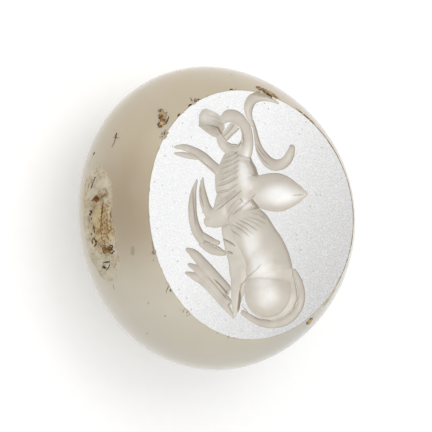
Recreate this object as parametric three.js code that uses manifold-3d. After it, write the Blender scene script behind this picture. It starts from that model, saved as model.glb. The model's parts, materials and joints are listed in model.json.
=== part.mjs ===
// Round stone stamp seal: a domed back, a string hole through the flanks and an engraved flat face.
// Millimetres. +Z is the way the engraved face looks, and the dome's worn crown rests on Z = 0.
// The string hole runs along X. +Y is up in the engraved picture, and +X is right.
import * as THREE from 'three';
import { ConvexGeometry } from 'three/addons/geometries/ConvexGeometry.js';
import { mergeVertices } from 'three/addons/utils/BufferGeometryUtils.js';
import Module from 'manifold-3d';

const wasm = await Module();
wasm.setup();

// Driving sizes of the stone
const bodyRadius = 12;
const backDepth = 8.8;
const frontDepth = 7.79;
const faceLift = 4.55;
const crownWear = 0.2;
const faceEdgeDrop = 0.12;
const outlineOval = 0.010;
const outlineThreeLobe = 0.016;
const spinOfOutline = THREE.MathUtils.degToRad(4);

// String hole, the earth that fills its mouth on the -X side, and the room round every deposit
const boreDiameter = 3;
const boreAboveWidest = 0.25;
const boreOffCentre = -0.3;
const depositClearance = 0.1;
const fillLength = 2.5;
const fillSetBack = 0.53;

// The long worn mouths of the string hole, and how far the engraved neck's floor leans to its right
const mouthWearDepth = 0.5;
const mouthWearLength = 5.8;
const mouthWearHeight = 3.9;
const neckLean = 0.7;

// Worked out from the sizes above
const widestZ = backDepth - crownWear;
const faceZ = widestZ + faceLift;
const boreZ = widestZ + boreAboveWidest;
const leftEdgeX = -bodyRadius * outlineFactor(Math.PI);
const aroundSteps = 64;
const sliverSize = 0.003;

function outlineFactor(angle) {
  const a = angle - spinOfOutline;
  return 1 - outlineOval * Math.sin(2 * a) + outlineThreeLobe * Math.cos(3 * a);
}

// Closed geometry to solid: shared vertices merged, triangles that shrank to a line left out
function toSolid(geometry) {
  const bare = geometry.clone();
  bare.deleteAttribute('normal');
  bare.deleteAttribute('uv');
  const merged = mergeVertices(bare, 1e-4);
  const from = merged.index.array;
  const kept = [];
  for (let i = 0; i < from.length; i += 3) {
    const [a, b, c] = [from[i], from[i + 1], from[i + 2]];
    if (a !== b && b !== c && c !== a) kept.push(a, b, c);
  }
  return new wasm.Manifold(new wasm.Mesh({
    numProp: 3,
    vertProperties: new Float32Array(merged.attributes.position.array),
    triVerts: new Uint32Array(kept),
  }));
}

function toGeometry(solid) {
  const mesh = solid.getMesh();
  const geometry = new THREE.BufferGeometry();
  geometry.setAttribute('position', new THREE.BufferAttribute(new Float32Array(mesh.vertProperties), 3));
  geometry.setIndex(new THREE.BufferAttribute(new Uint32Array(mesh.triVerts), 1));
  const flat = geometry.toNonIndexed();
  flat.computeVertexNormals();
  return flat;
}

// Radius of the round body at a height from the widest plane
function radiusAt(height) {
  const depth = height > 0 ? frontDepth : backDepth;
  return bodyRadius * Math.sqrt(1 - (height / depth) ** 2);
}

function stoneBody() {
  const profile = [new THREE.Vector2(0, 0)];
  const crownHeight = -(backDepth - crownWear);
  for (const t of [0, 0.06, 0.14, 0.24, 0.36, 0.5, 0.66, 0.83]) {
    const lift = Math.asin(-crownHeight / backDepth) * (1 - t);
    const height = -backDepth * Math.sin(lift);
    profile.push(new THREE.Vector2(radiusAt(height), widestZ + height));
  }
  for (const t of [0, 0.25, 0.5, 0.75]) {
    profile.push(new THREE.Vector2(radiusAt(faceLift * t), widestZ + faceLift * t));
  }
  const rimRadius = radiusAt(faceLift);
  profile.push(new THREE.Vector2(rimRadius + faceEdgeDrop * 0.3, faceZ - faceEdgeDrop));
  profile.push(new THREE.Vector2(rimRadius - faceEdgeDrop, faceZ));
  profile.push(new THREE.Vector2(0, faceZ));
  const geometry = new THREE.LatheGeometry(profile, aroundSteps).rotateX(Math.PI / 2);
  const place = geometry.attributes.position;
  for (let i = 0; i < place.count; i++) {
    const factor = outlineFactor(Math.atan2(place.getY(i), place.getX(i)));
    place.setXY(i, place.getX(i) * factor, place.getY(i) * factor);
  }
  return toSolid(geometry);
}

// Ball cut: part of an ellipsoid that meets the face in the given oval and goes to the depth
function bowl({ at, half, depth }) {
  const lift = 0.3;
  const spread = Math.sqrt(1 - lift ** 2);
  const down = depth / (1 - lift);
  const geometry = new THREE.SphereGeometry(1, 32, 18).rotateX(Math.PI / 2);
  geometry.scale(half[0] / spread, half[1] / spread, down);
  geometry.translate(at[0], at[1], faceZ + lift * down);
  return toSolid(geometry);
}

// Rings of points to a closed solid, each ring with the same number of points
function loft(rings) {
  const sides = rings[0].length;
  const positions = rings.flat().flatMap((p) => [p.x, p.y, p.z]);
  const index = [];
  for (let r = 0; r + 1 < rings.length; r++) {
    for (let k = 0; k < sides; k++) {
      const next = (k + 1) % sides;
      const [a, b, c, d] = [r * sides + k, r * sides + next, (r + 1) * sides + k, (r + 1) * sides + next];
      index.push(a, d, b, a, c, d);
    }
  }
  const end = (rings.length - 1) * sides;
  for (let k = 1; k + 1 < sides; k++) {
    index.push(0, k, k + 1);
    index.push(end, end + k + 1, end + k);
  }
  const geometry = new THREE.BufferGeometry();
  geometry.setAttribute('position', new THREE.Float32BufferAttribute(positions, 3));
  geometry.setIndex(index);
  return toSolid(geometry);
}

// Stops past an end, narrower and narrower, so that a cut ends in a round
function roundEnd([u, v, width], beside) {
  const away = new THREE.Vector2(u - beside[0], v - beside[1]).normalize().multiplyScalar(width * 0.4);
  return [35, 68].map((on) => {
    const angle = THREE.MathUtils.degToRad(on);
    const reach = away.clone().multiplyScalar(Math.sin(angle));
    return [u + reach.x, v + reach.y, width * Math.cos(angle)];
  });
}

// Wheel cut: a groove with a round floor along a curve. Each stop gives u, v and the width at the
// face, and the groove's depth is a share of half its width. A lean draws the floor towards +X.
function groove([depthShare, given, lean = 0]) {
  const stops = [
    ...roundEnd(given[0], given[1]).reverse(), ...given,
    ...roundEnd(given[given.length - 1], given[given.length - 2]),
  ];
  const curve = new THREE.CatmullRomCurve3(stops.map(([u, v]) => new THREE.Vector3(u, v, 0)));
  const widths = new THREE.CatmullRomCurve3(stops.map(([, , width], i) => new THREE.Vector3(i, width, 0)));
  const steps = 2 * (stops.length - 1);
  const floorSides = 6;
  const lift = 0.25;
  const spread = Math.sqrt(1 - lift ** 2);
  const rise = 0.3;
  const rings = [];
  for (let s = 0; s <= steps; s++) {
    const centre = curve.getPoint(s / steps);
    const along = curve.getTangent(s / steps);
    const side = new THREE.Vector3(-along.y, along.x, 0).normalize();
    const radius = widths.getPoint(s / steps).y / 2 / spread;
    const squash = depthShare / (1 - lift) * spread;
    const ring = [];
    for (let k = 0; k <= floorSides; k++) {
      const angle = Math.acos(lift) * (2 * k / floorSides - 1);
      const point = centre.clone().addScaledVector(side, -Math.sin(angle) * radius);
      point.z = faceZ + radius * (lift - Math.cos(angle)) * squash;
      point.x += lean * (faceZ - point.z);
      ring.push(point);
    }
    ring.push(ring[floorSides].clone().setZ(faceZ + rise), ring[0].clone().setZ(faceZ + rise));
    rings.push(ring);
  }
  return loft(rings);
}

// Facet cut: flat sides that run from an outline on the face down to a valley floor
function facets({ outline, valley }) {
  const rise = 0.3;
  return toSolid(new ConvexGeometry([
    ...outline.flatMap(([u, v]) => [new THREE.Vector3(u, v, faceZ), new THREE.Vector3(u, v, faceZ + rise)]),
    ...valley.map(([u, v, depth]) => new THREE.Vector3(u, v, faceZ - depth)),
  ]));
}

// The engraved humped bull, lying with its head turned up to the left. Places are u, v on the face.
const bowls = {
  rumpLedge: { at: [1.50, -6.25], half: [2.50, 2.10], depth: 0.45 },
  rump: { at: [1.35, -6.05], half: [2.35, 2.10], depth: 1.30 },
};
const muzzle = {
  outline: [[-4.62, 6.90], [-4.52, 7.78], [-4.25, 8.16], [-3.87, 8.28], [-3.33, 8.13], [-2.80, 7.90],
    [-2.20, 7.50], [-2.15, 6.70], [-2.70, 5.92], [-3.33, 6.10], [-3.87, 6.40]],
  valley: [[-4.05, 7.02, 0.58], [-3.40, 6.90, 0.72], [-2.65, 6.78, 0.74]],
};
const hollows = {
  forehead: [0.60, [[-2.3, 7.4, 0.7], [-1.9, 7.65, 0.95], [-1.35, 7.7, 1.0], [-0.8, 7.5, 1.0],
    [-0.35, 7.08, 0.95], [-0.02, 6.55, 0.9], [0.08, 6.0, 0.85], [0.05, 5.5, 0.9], [-0.1, 5.0, 1.0],
    [-0.3, 4.5, 1.0]]],
  jaw: [0.60, [[-2.75, 6.35, 0.5], [-2.55, 5.75, 0.8], [-2.2, 5.25, 0.75], [-1.6, 4.95, 0.75],
    [-0.8, 4.95, 0.8]]],
  upperHorn: [0.75, [[0.55, 6.9, 0.25], [0.3, 7.5, 0.5], [0.17, 8.1, 0.78], [0.32, 8.68, 0.9],
    [0.78, 9.08, 0.85], [1.4, 9.2, 0.72], [2.2, 9.05, 0.45], [3.1, 8.68, 0.12]]],
  lowerHorn: [0.75, [[0.55, 7.3, 0.22], [0.72, 6.6, 0.36], [0.85, 5.9, 0.48], [1.02, 5.2, 0.68],
    [1.45, 4.48, 0.9], [2.1, 3.95, 0.95], [2.85, 3.85, 0.88], [3.55, 4.12, 0.85], [4.02, 4.7, 0.8],
    [4.25, 5.25, 0.55]]],
  neck: [0.46, [[-0.6, 5.3, 0.9], [-0.75, 4.9, 2.1], [-0.93, 4.35, 2.95], [-1.05, 3.65, 3.7],
    [-1.15, 2.9, 4.2], [-1.3, 2.1, 4.1], [-1.4, 1.35, 3.7], [-1.5, 0.65, 3.0]], neckLean],
  hump: [0.50, [[0.1, 1.8, 2.2], [1.2, 1.75, 2.75], [2.4, 1.7, 3.05], [3.4, 1.65, 2.75], [4.3, 1.58, 1.95],
    [4.95, 1.55, 1.15], [5.45, 1.53, 0.35]]],
  shoulder: [0.55, [[-4.25, -0.55, 0.8], [-3.45, -0.3, 1.5], [-2.7, 0.3, 1.9], [-2.4, 1.2, 1.8]]],
  outerArm: [1.95, [[-1.95, 0.1, 0.55], [-1.55, 0.4, 0.78], [-0.95, 0.86, 0.88], [-0.45, 1.2, 0.9]]],
  innerArm: [1.55, [[-1.2, -0.1, 0.55], [-0.65, 0.25, 0.85], [0.0, 0.62, 1.0], [0.55, 0.9, 1.05]]],
  barrel: [0.50, [[-1.0, 0.0, 2.9], [-0.25, -1.0, 3.8], [0.6, -2.2, 3.9], [1.3, -3.4, 4.2],
    [1.5, -4.6, 4.5], [1.55, -5.6, 4.0]]],
  thigh: [0.46, [[-2.0, -1.1, 1.9], [-1.55, -2.4, 2.3], [-1.25, -3.6, 2.3], [-1.25, -4.8, 2.2],
    [-1.65, -6.0, 1.3], [-1.88, -7.0, 0.8], [-2.05, -7.9, 0.25]]],
  tail: [0.75, [[3.85, -4.5, 0.45], [4.2, -5.2, 0.65], [4.45, -6.0, 0.7], [4.4, -6.9, 0.7], [4.0, -7.6, 0.7],
    [3.2, -8.25, 0.7], [2.0, -8.6, 0.65], [0.8, -8.55, 0.6], [-0.3, -8.2, 0.5], [-1.3, -7.6, 0.4]]],
  firstForeleg: [0.75, [[-2.8, 3.3, 0.85], [-3.6, 3.93, 0.85], [-4.4, 4.53, 0.85], [-5.2, 4.98, 0.65],
    [-6.1, 5.27, 0.5], [-6.95, 5.28, 0.18]]],
  firstForelegToe: [0.80, [[-4.9, 4.5, 0.4], [-5.6, 4.6, 0.46], [-6.4, 4.73, 0.38], [-7.0, 4.8, 0.14]]],
  secondForeleg: [0.85, [[-5.0, 2.7, 0.15], [-5.3, 2.0, 0.45], [-5.5, 1.1, 0.72], [-5.55, 0.2, 0.82],
    [-5.42, -0.7, 0.9], [-5.05, -1.5, 0.95], [-4.55, -2.0, 0.9]]],
  secondForelegUpperHoof: [0.80, [[-4.9, -1.5, 0.6], [-4.3, -1.85, 0.7], [-3.7, -2.1, 0.6],
    [-3.2, -2.15, 0.32]]],
  secondForelegLowerHoof: [0.80, [[-4.9, -2.1, 0.6], [-4.2, -2.55, 0.7], [-3.5, -2.82, 0.62],
    [-2.7, -2.98, 0.4]]],
  secondForelegToe: [0.85, [[-4.42, 2.9, 0.12], [-4.55, 2.25, 0.5], [-4.48, 1.4, 0.8], [-4.25, 0.6, 0.9],
    [-3.8, -0.1, 1.0]]],
  firstHindLeg: [0.75, [[-6.25, -2.6, 0.3], [-5.65, -2.95, 0.75], [-4.7, -3.85, 0.95], [-3.7, -4.85, 1.0],
    [-2.7, -5.85, 1.0]]],
  secondHindLeg: [0.85, [[-6.15, -3.78, 0.24], [-5.4, -4.15, 0.65], [-4.5, -4.9, 0.8], [-3.5, -5.9, 0.78],
    [-2.5, -6.85, 0.65]]],
  thirdHindLeg: [0.80, [[-6.45, -4.42, 0.2], [-5.7, -4.68, 0.6], [-4.8, -5.15, 0.74], [-4.0, -5.85, 0.74],
    [-3.2, -6.7, 0.7], [-2.5, -7.5, 0.48], [-2.15, -8.05, 0.14]]],
  eyeLine: [1.0, [[-2.35, 6.1, 0.2], [-1.8, 6.55, 0.26], [-1.27, 7.05, 0.2]]],
  cheekLine: [1.0, [[-2.15, 5.75, 0.14], [-1.5, 6.25, 0.17], [-0.68, 6.8, 0.14]]],
  cheekEdge: [1.0, [[-0.68, 6.8, 0.2], [-0.46, 6.3, 0.24], [-0.52, 5.8, 0.24], [-0.95, 5.38, 0.24],
    [-1.6, 5.42, 0.24], [-2.1, 5.68, 0.2]]],
};

// Worn chips that make each mouth of the string hole long: how far along the stone's edge, height over
// the widest plane, and half sizes deep, along and up
const mouthChips = [
  { along: 0, height: boreAboveWidest, half: [mouthWearDepth, mouthWearLength / 2, mouthWearHeight / 2] },
  { along: 2.2, height: 0.25, half: [0.42, 1.9, 1.55] },
  { along: -2.5, height: 0.35, half: [0.46, 2.0, 1.5] },
];

// Burial deposits: degrees round the stone and height over the widest plane, then the lumps that each
// is made of: sideways and up from there, half sizes across, along and deep, and how far it is sunk
const deposits = {
  shoulder_pit_crust: { at: [134.9, 3.98], lumps: [
    [-0.52, -0.48, 0.20, 0.22, 0.15, 0.08], [-0.27, -0.24, 0.24, 0.26, 0.18, 0.11],
    [0.00, 0.00, 0.26, 0.26, 0.18, 0.12], [0.25, 0.04, 0.24, 0.22, 0.18, 0.10],
    [0.48, 0.00, 0.20, 0.20, 0.18, 0.06],
  ] },
  upper_rim_crust: { at: [76.6, 4.18], lumps: [
    [0.66, -0.12, 0.28, 0.21, 0.15, 0.09], [0.23, -0.02, 0.34, 0.25, 0.18, 0.11],
    [-0.23, 0.02, 0.34, 0.24, 0.18, 0.08], [-0.59, 0.04, 0.28, 0.20, 0.15, 0.10],
  ] },
  lower_rim_crust: { at: [302.0, 4.12], lumps: [
    [0.00, 0.00, 0.28, 0.21, 0.15, 0.05], [0.26, 0.02, 0.20, 0.16, 0.13, 0.05],
  ] },
  left_rim_crust: { at: [196.5, 4.42], lumps: [[0.00, 0.00, 0.22, 0.13, 0.12, 0.05]] },
  mouth_upper_crust: { at: [171.0, 0.68], lumps: [
    [0.20, -0.66, 0.20, 0.26, 0.18, 0.36], [0.06, -0.26, 0.20, 0.30, 0.18, 0.32],
    [-0.06, 0.18, 0.22, 0.32, 0.18, 0.23], [-0.16, 0.62, 0.25, 0.28, 0.17, 0.14],
  ] },
  mouth_lower_crust: { at: [191.8, 1.10], lumps: [
    [-0.02, -0.22, 0.24, 0.27, 0.14, 0.11], [0.02, 0.24, 0.20, 0.30, 0.13, 0.08],
  ] },
};

// An ellipsoid on the stone's surface, its axes across, along and out of the stone
function surfaceLump([azimuth, middleHeight], [sideways, up, across, along, deep, sunk], extra) {
  const start = THREE.MathUtils.degToRad(azimuth);
  const angle = start + sideways / (radiusAt(middleHeight) * outlineFactor(start));
  const height = middleHeight + up;
  const depth = height > 0 ? frontDepth : backDepth;
  const radius = radiusAt(height) * outlineFactor(angle);
  const run = radius / bodyRadius ** 2;
  const rise = height / depth ** 2;
  const out = new THREE.Vector3(Math.cos(angle) * run, Math.sin(angle) * run, rise).normalize();
  const acrossAxis = new THREE.Vector3(0, 0, 1).cross(out).normalize();
  const alongAxis = out.clone().cross(acrossAxis);
  const middle = new THREE.Vector3(radius * Math.cos(angle), radius * Math.sin(angle), widestZ + height);
  middle.addScaledVector(out, -sunk);
  const geometry = new THREE.SphereGeometry(1, 12, 8).rotateX(Math.PI / 2);
  geometry.scale(across + extra, along + extra, deep + extra);
  geometry.applyMatrix4(new THREE.Matrix4().makeBasis(acrossAxis, alongAxis, out).setPosition(middle));
  return toSolid(geometry);
}

function deposit({ at, lumps }, extra = 0) {
  return lumps.map((lump) => surfaceLump(at, lump, extra)).reduce((whole, lump) => whole.add(lump));
}

function stringHole() {
  const length = 4 * bodyRadius;
  const drill = new THREE.CylinderGeometry(boreDiameter / 2, boreDiameter / 2, length, 32);
  drill.rotateZ(Math.PI / 2).translate(0, boreOffCentre, boreZ);
  let hole = toSolid(drill);
  for (const side of [-1, 1]) {
    const edgeX = side * bodyRadius * outlineFactor(side < 0 ? Math.PI : 0);
    for (const { along, height, half } of mouthChips) {
      const chip = new THREE.SphereGeometry(1, 28, 16).rotateX(Math.PI / 2);
      chip.scale(half[0], half[1], half[2]);
      chip.translate(edgeX, -side * along, widestZ + height);
      hole = hole.add(toSolid(chip));
    }
  }
  return hole;
}

function holeFill() {
  const radius = boreDiameter / 2 - depositClearance;
  const plug = new THREE.CylinderGeometry(radius, radius, fillLength, 32);
  plug.rotateZ(Math.PI / 2).translate(leftEdgeX + fillSetBack + fillLength / 2, boreOffCentre, boreZ);
  return toSolid(plug);
}

function sealStone() {
  let cuts = stringHole().add(facets(muzzle));
  for (const one of Object.values(bowls)) cuts = cuts.add(bowl(one));
  for (const one of Object.values(hollows)) cuts = cuts.add(groove(one));
  for (const one of Object.values(deposits)) cuts = cuts.add(deposit(one, depositClearance));
  return stoneBody().subtract(cuts).simplify(sliverSize);
}

const stoneMaterial = new THREE.MeshStandardMaterial({ color: 0xcfc8b8, roughness: 0.45, metalness: 0 });
stoneMaterial.name = 'stone';
const crustMaterial = new THREE.MeshStandardMaterial({ color: 0x6e4a2c, roughness: 0.95, metalness: 0 });
crustMaterial.name = 'crust';
const earthMaterial = new THREE.MeshStandardMaterial({ color: 0xb8a27c, roughness: 0.95, metalness: 0 });
earthMaterial.name = 'earth';

function named(name, solid, material) {
  const mesh = new THREE.Mesh(toGeometry(solid), material);
  mesh.name = name;
  return mesh;
}

const group = new THREE.Group();
group.add(named('seal_stone', sealStone(), stoneMaterial));
group.add(named('string_hole_fill', holeFill(), earthMaterial));
for (const [name, one] of Object.entries(deposits)) {
  group.add(named(name, deposit(one), crustMaterial));
}

export default group;
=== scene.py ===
import json
from math import atan2, cos, degrees, hypot, pi, radians, sin, sqrt

import bpy
from mathutils import Matrix, Vector, noise

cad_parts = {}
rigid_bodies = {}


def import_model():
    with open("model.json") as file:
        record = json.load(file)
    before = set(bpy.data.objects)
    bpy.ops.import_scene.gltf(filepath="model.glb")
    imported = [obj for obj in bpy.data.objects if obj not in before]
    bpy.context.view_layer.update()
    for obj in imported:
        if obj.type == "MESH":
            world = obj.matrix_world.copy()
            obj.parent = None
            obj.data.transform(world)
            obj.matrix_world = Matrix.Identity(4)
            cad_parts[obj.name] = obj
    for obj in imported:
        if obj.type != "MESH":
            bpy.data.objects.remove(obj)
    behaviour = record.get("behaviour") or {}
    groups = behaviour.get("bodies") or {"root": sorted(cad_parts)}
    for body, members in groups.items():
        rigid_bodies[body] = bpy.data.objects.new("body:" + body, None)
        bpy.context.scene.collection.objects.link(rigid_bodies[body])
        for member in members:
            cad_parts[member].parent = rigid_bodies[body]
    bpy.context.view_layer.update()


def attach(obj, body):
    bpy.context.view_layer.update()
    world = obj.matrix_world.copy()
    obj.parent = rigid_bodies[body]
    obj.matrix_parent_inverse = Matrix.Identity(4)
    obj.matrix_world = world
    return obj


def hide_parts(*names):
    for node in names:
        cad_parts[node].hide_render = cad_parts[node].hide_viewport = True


# Noise vectors start from the clock unless they are given a seed
noise.seed_set(1)

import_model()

# A round stone stamp seal that rests on its dome with the engraved face up. Sizes are in millimetres,
# and MM turns them into metres. U and V are places on the face: U runs right along X, and V up along Y.
MM = 0.001

# The stone
BODY_RADIUS = 12
BACK_DEPTH = 8.8
FRONT_DEPTH = 7.79
FACE_LIFT = 4.55
CROWN_WEAR = 0.2
OUTLINE_OVAL = 0.010
OUTLINE_THREE_LOBE = 0.016
OUTLINE_SPIN = radians(4)
WIDEST_Z = BACK_DEPTH - CROWN_WEAR
FACE_Z = WIDEST_Z + FACE_LIFT
RIM_BEVEL = 0.06

# The string hole along X, with its chipped mouths. Pale earth fills the mouth on the -X side.
BORE_RADIUS = 1.5
FILL_RADIUS = 1.52
FILL_OUTER_X = -11.3
FILL_INNER_X = -8.8
BORE_Y = -0.3
BORE_Z = WIDEST_Z + 0.25
FILL_ROUGHNESS = 0.06
CHIP_ROUGHNESS = 0.16

# How the photograph was taken
CAMERA_DISTANCE = 300 * MM
CAMERA_YAW = radians(35)
CAMERA_ROLL = radians(5.9)
VIEW_WIDTH = 34.12 * MM
SENSOR_WIDTH = 36
IMAGE_PIXELS = 432
BODY_CENTRE_PIXEL = (218.09, 217.78)

# The engraved bull: hollows cut with a round wheel. Each stop is (u, v, width at the face), and
# the first value is the hollow's depth as a share of half its width.
HOLLOWS = {
    "forehead": (0.6, [
        (-2.3, 7.4, 0.7), (-1.9, 7.65, 0.95), (-1.35, 7.7, 1), (-0.8, 7.5, 1), (-0.35, 7.08, 0.95),
        (-0.02, 6.55, 0.9), (0.08, 6, 0.85), (0.05, 5.5, 0.9), (-0.1, 5, 1), (-0.3, 4.5, 1)]),
    "eye_hollow": (0.2, [(-2.3, 5.95, 0.7), (-1.8, 6.4, 0.8), (-1.25, 6.9, 0.8), (-0.9, 7.2, 0.6)]),
    "jaw": (0.6, [
        (-2.75, 6.35, 0.5), (-2.55, 5.75, 0.8), (-2.2, 5.25, 0.75), (-1.6, 4.95, 0.75), (-0.8, 4.95, 0.8)]),
    "upper_horn": (0.75, [
        (0.55, 6.9, 0.25), (0.3, 7.5, 0.5), (0.17, 8.1, 0.78), (0.32, 8.68, 0.9), (0.78, 9.08, 0.85),
        (1.4, 9.2, 0.72), (2.2, 9.05, 0.45), (3.1, 8.68, 0.12)]),
    "lower_horn": (0.75, [
        (0.55, 7.3, 0.22), (0.72, 6.6, 0.36), (0.85, 5.9, 0.48), (1.02, 5.2, 0.68), (1.45, 4.48, 0.9),
        (2.1, 3.95, 0.95), (2.85, 3.85, 0.88), (3.55, 4.12, 0.85), (4.02, 4.7, 0.8), (4.25, 5.25, 0.55)]),
    "hump": (0.5, [
        (0.1, 1.8, 2.2), (1.2, 1.75, 2.75), (2.4, 1.7, 3.05), (3.4, 1.65, 2.75), (4.3, 1.58, 1.95),
        (4.95, 1.55, 1.15), (5.45, 1.53, 0.35)]),
    "shoulder": (0.55, [(-4.25, -0.55, 0.8), (-3.45, -0.3, 1.5), (-2.7, 0.3, 1.9), (-2.4, 1.2, 1.8)]),
    "outer_arm": (1.95, [(-1.95, 0.1, 0.55), (-1.55, 0.4, 0.78), (-0.95, 0.86, 0.88), (-0.45, 1.2, 0.9)]),
    "inner_arm": (1.55, [(-1.2, -0.1, 0.55), (-0.65, 0.25, 0.85), (0, 0.62, 1), (0.55, 0.9, 1.05)]),
    "barrel": (0.5, [
        (-1, 0, 2.9), (-0.25, -1, 3.8), (0.6, -2.2, 3.9), (1.3, -3.4, 4.2), (1.5, -4.6, 4.5),
        (1.55, -5.6, 4)]),
    "thigh": (0.46, [
        (-2, -1.1, 1.9), (-1.55, -2.4, 2.3), (-1.25, -3.6, 2.3), (-1.25, -4.8, 2.2), (-1.65, -6, 1.3),
        (-1.88, -7, 0.8), (-2.05, -7.9, 0.25)]),
    "tail": (0.75, [
        (3.85, -4.5, 0.45), (4.2, -5.2, 0.65), (4.45, -6, 0.7), (4.4, -6.9, 0.7), (4, -7.6, 0.7),
        (3.2, -8.25, 0.7), (2, -8.6, 0.65), (0.8, -8.55, 0.6), (-0.3, -8.2, 0.5), (-1.3, -7.6, 0.4)]),
    "first_foreleg": (0.75, [
        (-2.8, 3.3, 0.85), (-3.6, 3.93, 0.85), (-4.4, 4.53, 0.85), (-5.2, 4.98, 0.65), (-6.1, 5.27, 0.5),
        (-6.95, 5.28, 0.18)]),
    "first_foreleg_toe": (0.8, [(-4.9, 4.5, 0.4), (-5.6, 4.6, 0.46), (-6.4, 4.73, 0.38), (-7, 4.8, 0.14)]),
    "second_foreleg": (0.85, [
        (-5, 2.7, 0.15), (-5.3, 2, 0.45), (-5.5, 1.1, 0.72), (-5.55, 0.2, 0.82), (-5.42, -0.7, 0.9),
        (-5.05, -1.5, 0.95), (-4.55, -2, 0.9)]),
    "second_foreleg_upper_hoof": (0.8, [
        (-4.9, -1.5, 0.6), (-4.3, -1.85, 0.7), (-3.7, -2.1, 0.6), (-3.2, -2.15, 0.32)]),
    "second_foreleg_lower_hoof": (0.8, [
        (-4.9, -2.1, 0.6), (-4.2, -2.55, 0.7), (-3.5, -2.82, 0.62), (-2.7, -2.98, 0.4)]),
    "second_foreleg_toe": (0.85, [
        (-4.42, 2.9, 0.12), (-4.55, 2.25, 0.5), (-4.48, 1.4, 0.8), (-4.25, 0.6, 0.9), (-3.8, -0.1, 1)]),
    "first_hind_leg": (0.75, [
        (-6.25, -2.6, 0.3), (-5.65, -2.95, 0.75), (-4.7, -3.85, 0.95), (-3.7, -4.85, 1), (-2.7, -5.85, 1)]),
    "second_hind_leg": (0.85, [
        (-6.15, -3.78, 0.24), (-5.4, -4.15, 0.65), (-4.5, -4.9, 0.8), (-3.5, -5.9, 0.78),
        (-2.5, -6.85, 0.65)]),
    "third_hind_leg": (0.8, [
        (-6.45, -4.42, 0.2), (-5.7, -4.68, 0.6), (-4.8, -5.15, 0.74), (-4, -5.85, 0.74), (-3.2, -6.7, 0.7),
        (-2.5, -7.5, 0.48), (-2.15, -8.05, 0.14)]),
}

# The neck is cut in the same way and leaned, so that its deepest line runs nearer to its right side
NECK = (0.46, [(-0.6, 5.3, 0.9), (-0.75, 4.9, 2.1), (-0.93, 4.35, 2.95), (-1.05, 3.65, 3.7),
               (-1.15, 2.9, 4.2), (-1.3, 2.1, 4.1), (-1.4, 1.35, 3.7), (-1.5, 0.65, 3)])
NECK_LEAN = 0.7

# Round bowls ground into the face: (u, v), half sizes (across, along) and depth
BOWLS = {"rump_ledge": ((1.5, -6.25), (2.5, 2.1), 0.45), "rump": ((1.35, -6.05), (2.35, 2.1), 1.3)}

# The muzzle is cut with flat facets: the (u, v) of its outline, and the (u, v, depth) of its valley floor
MUZZLE_OUTLINE = [(-4.62, 6.9), (-4.52, 7.78), (-4.25, 8.16), (-3.87, 8.28), (-3.33, 8.13), (-2.8, 7.9),
                  (-2.2, 7.5), (-2.15, 6.7), (-2.7, 5.92), (-3.33, 6.1), (-3.87, 6.4)]
MUZZLE_VALLEY = [(-4.05, 7.02, 0.58), (-3.4, 6.9, 0.72), (-2.65, 6.78, 0.74)]

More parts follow.
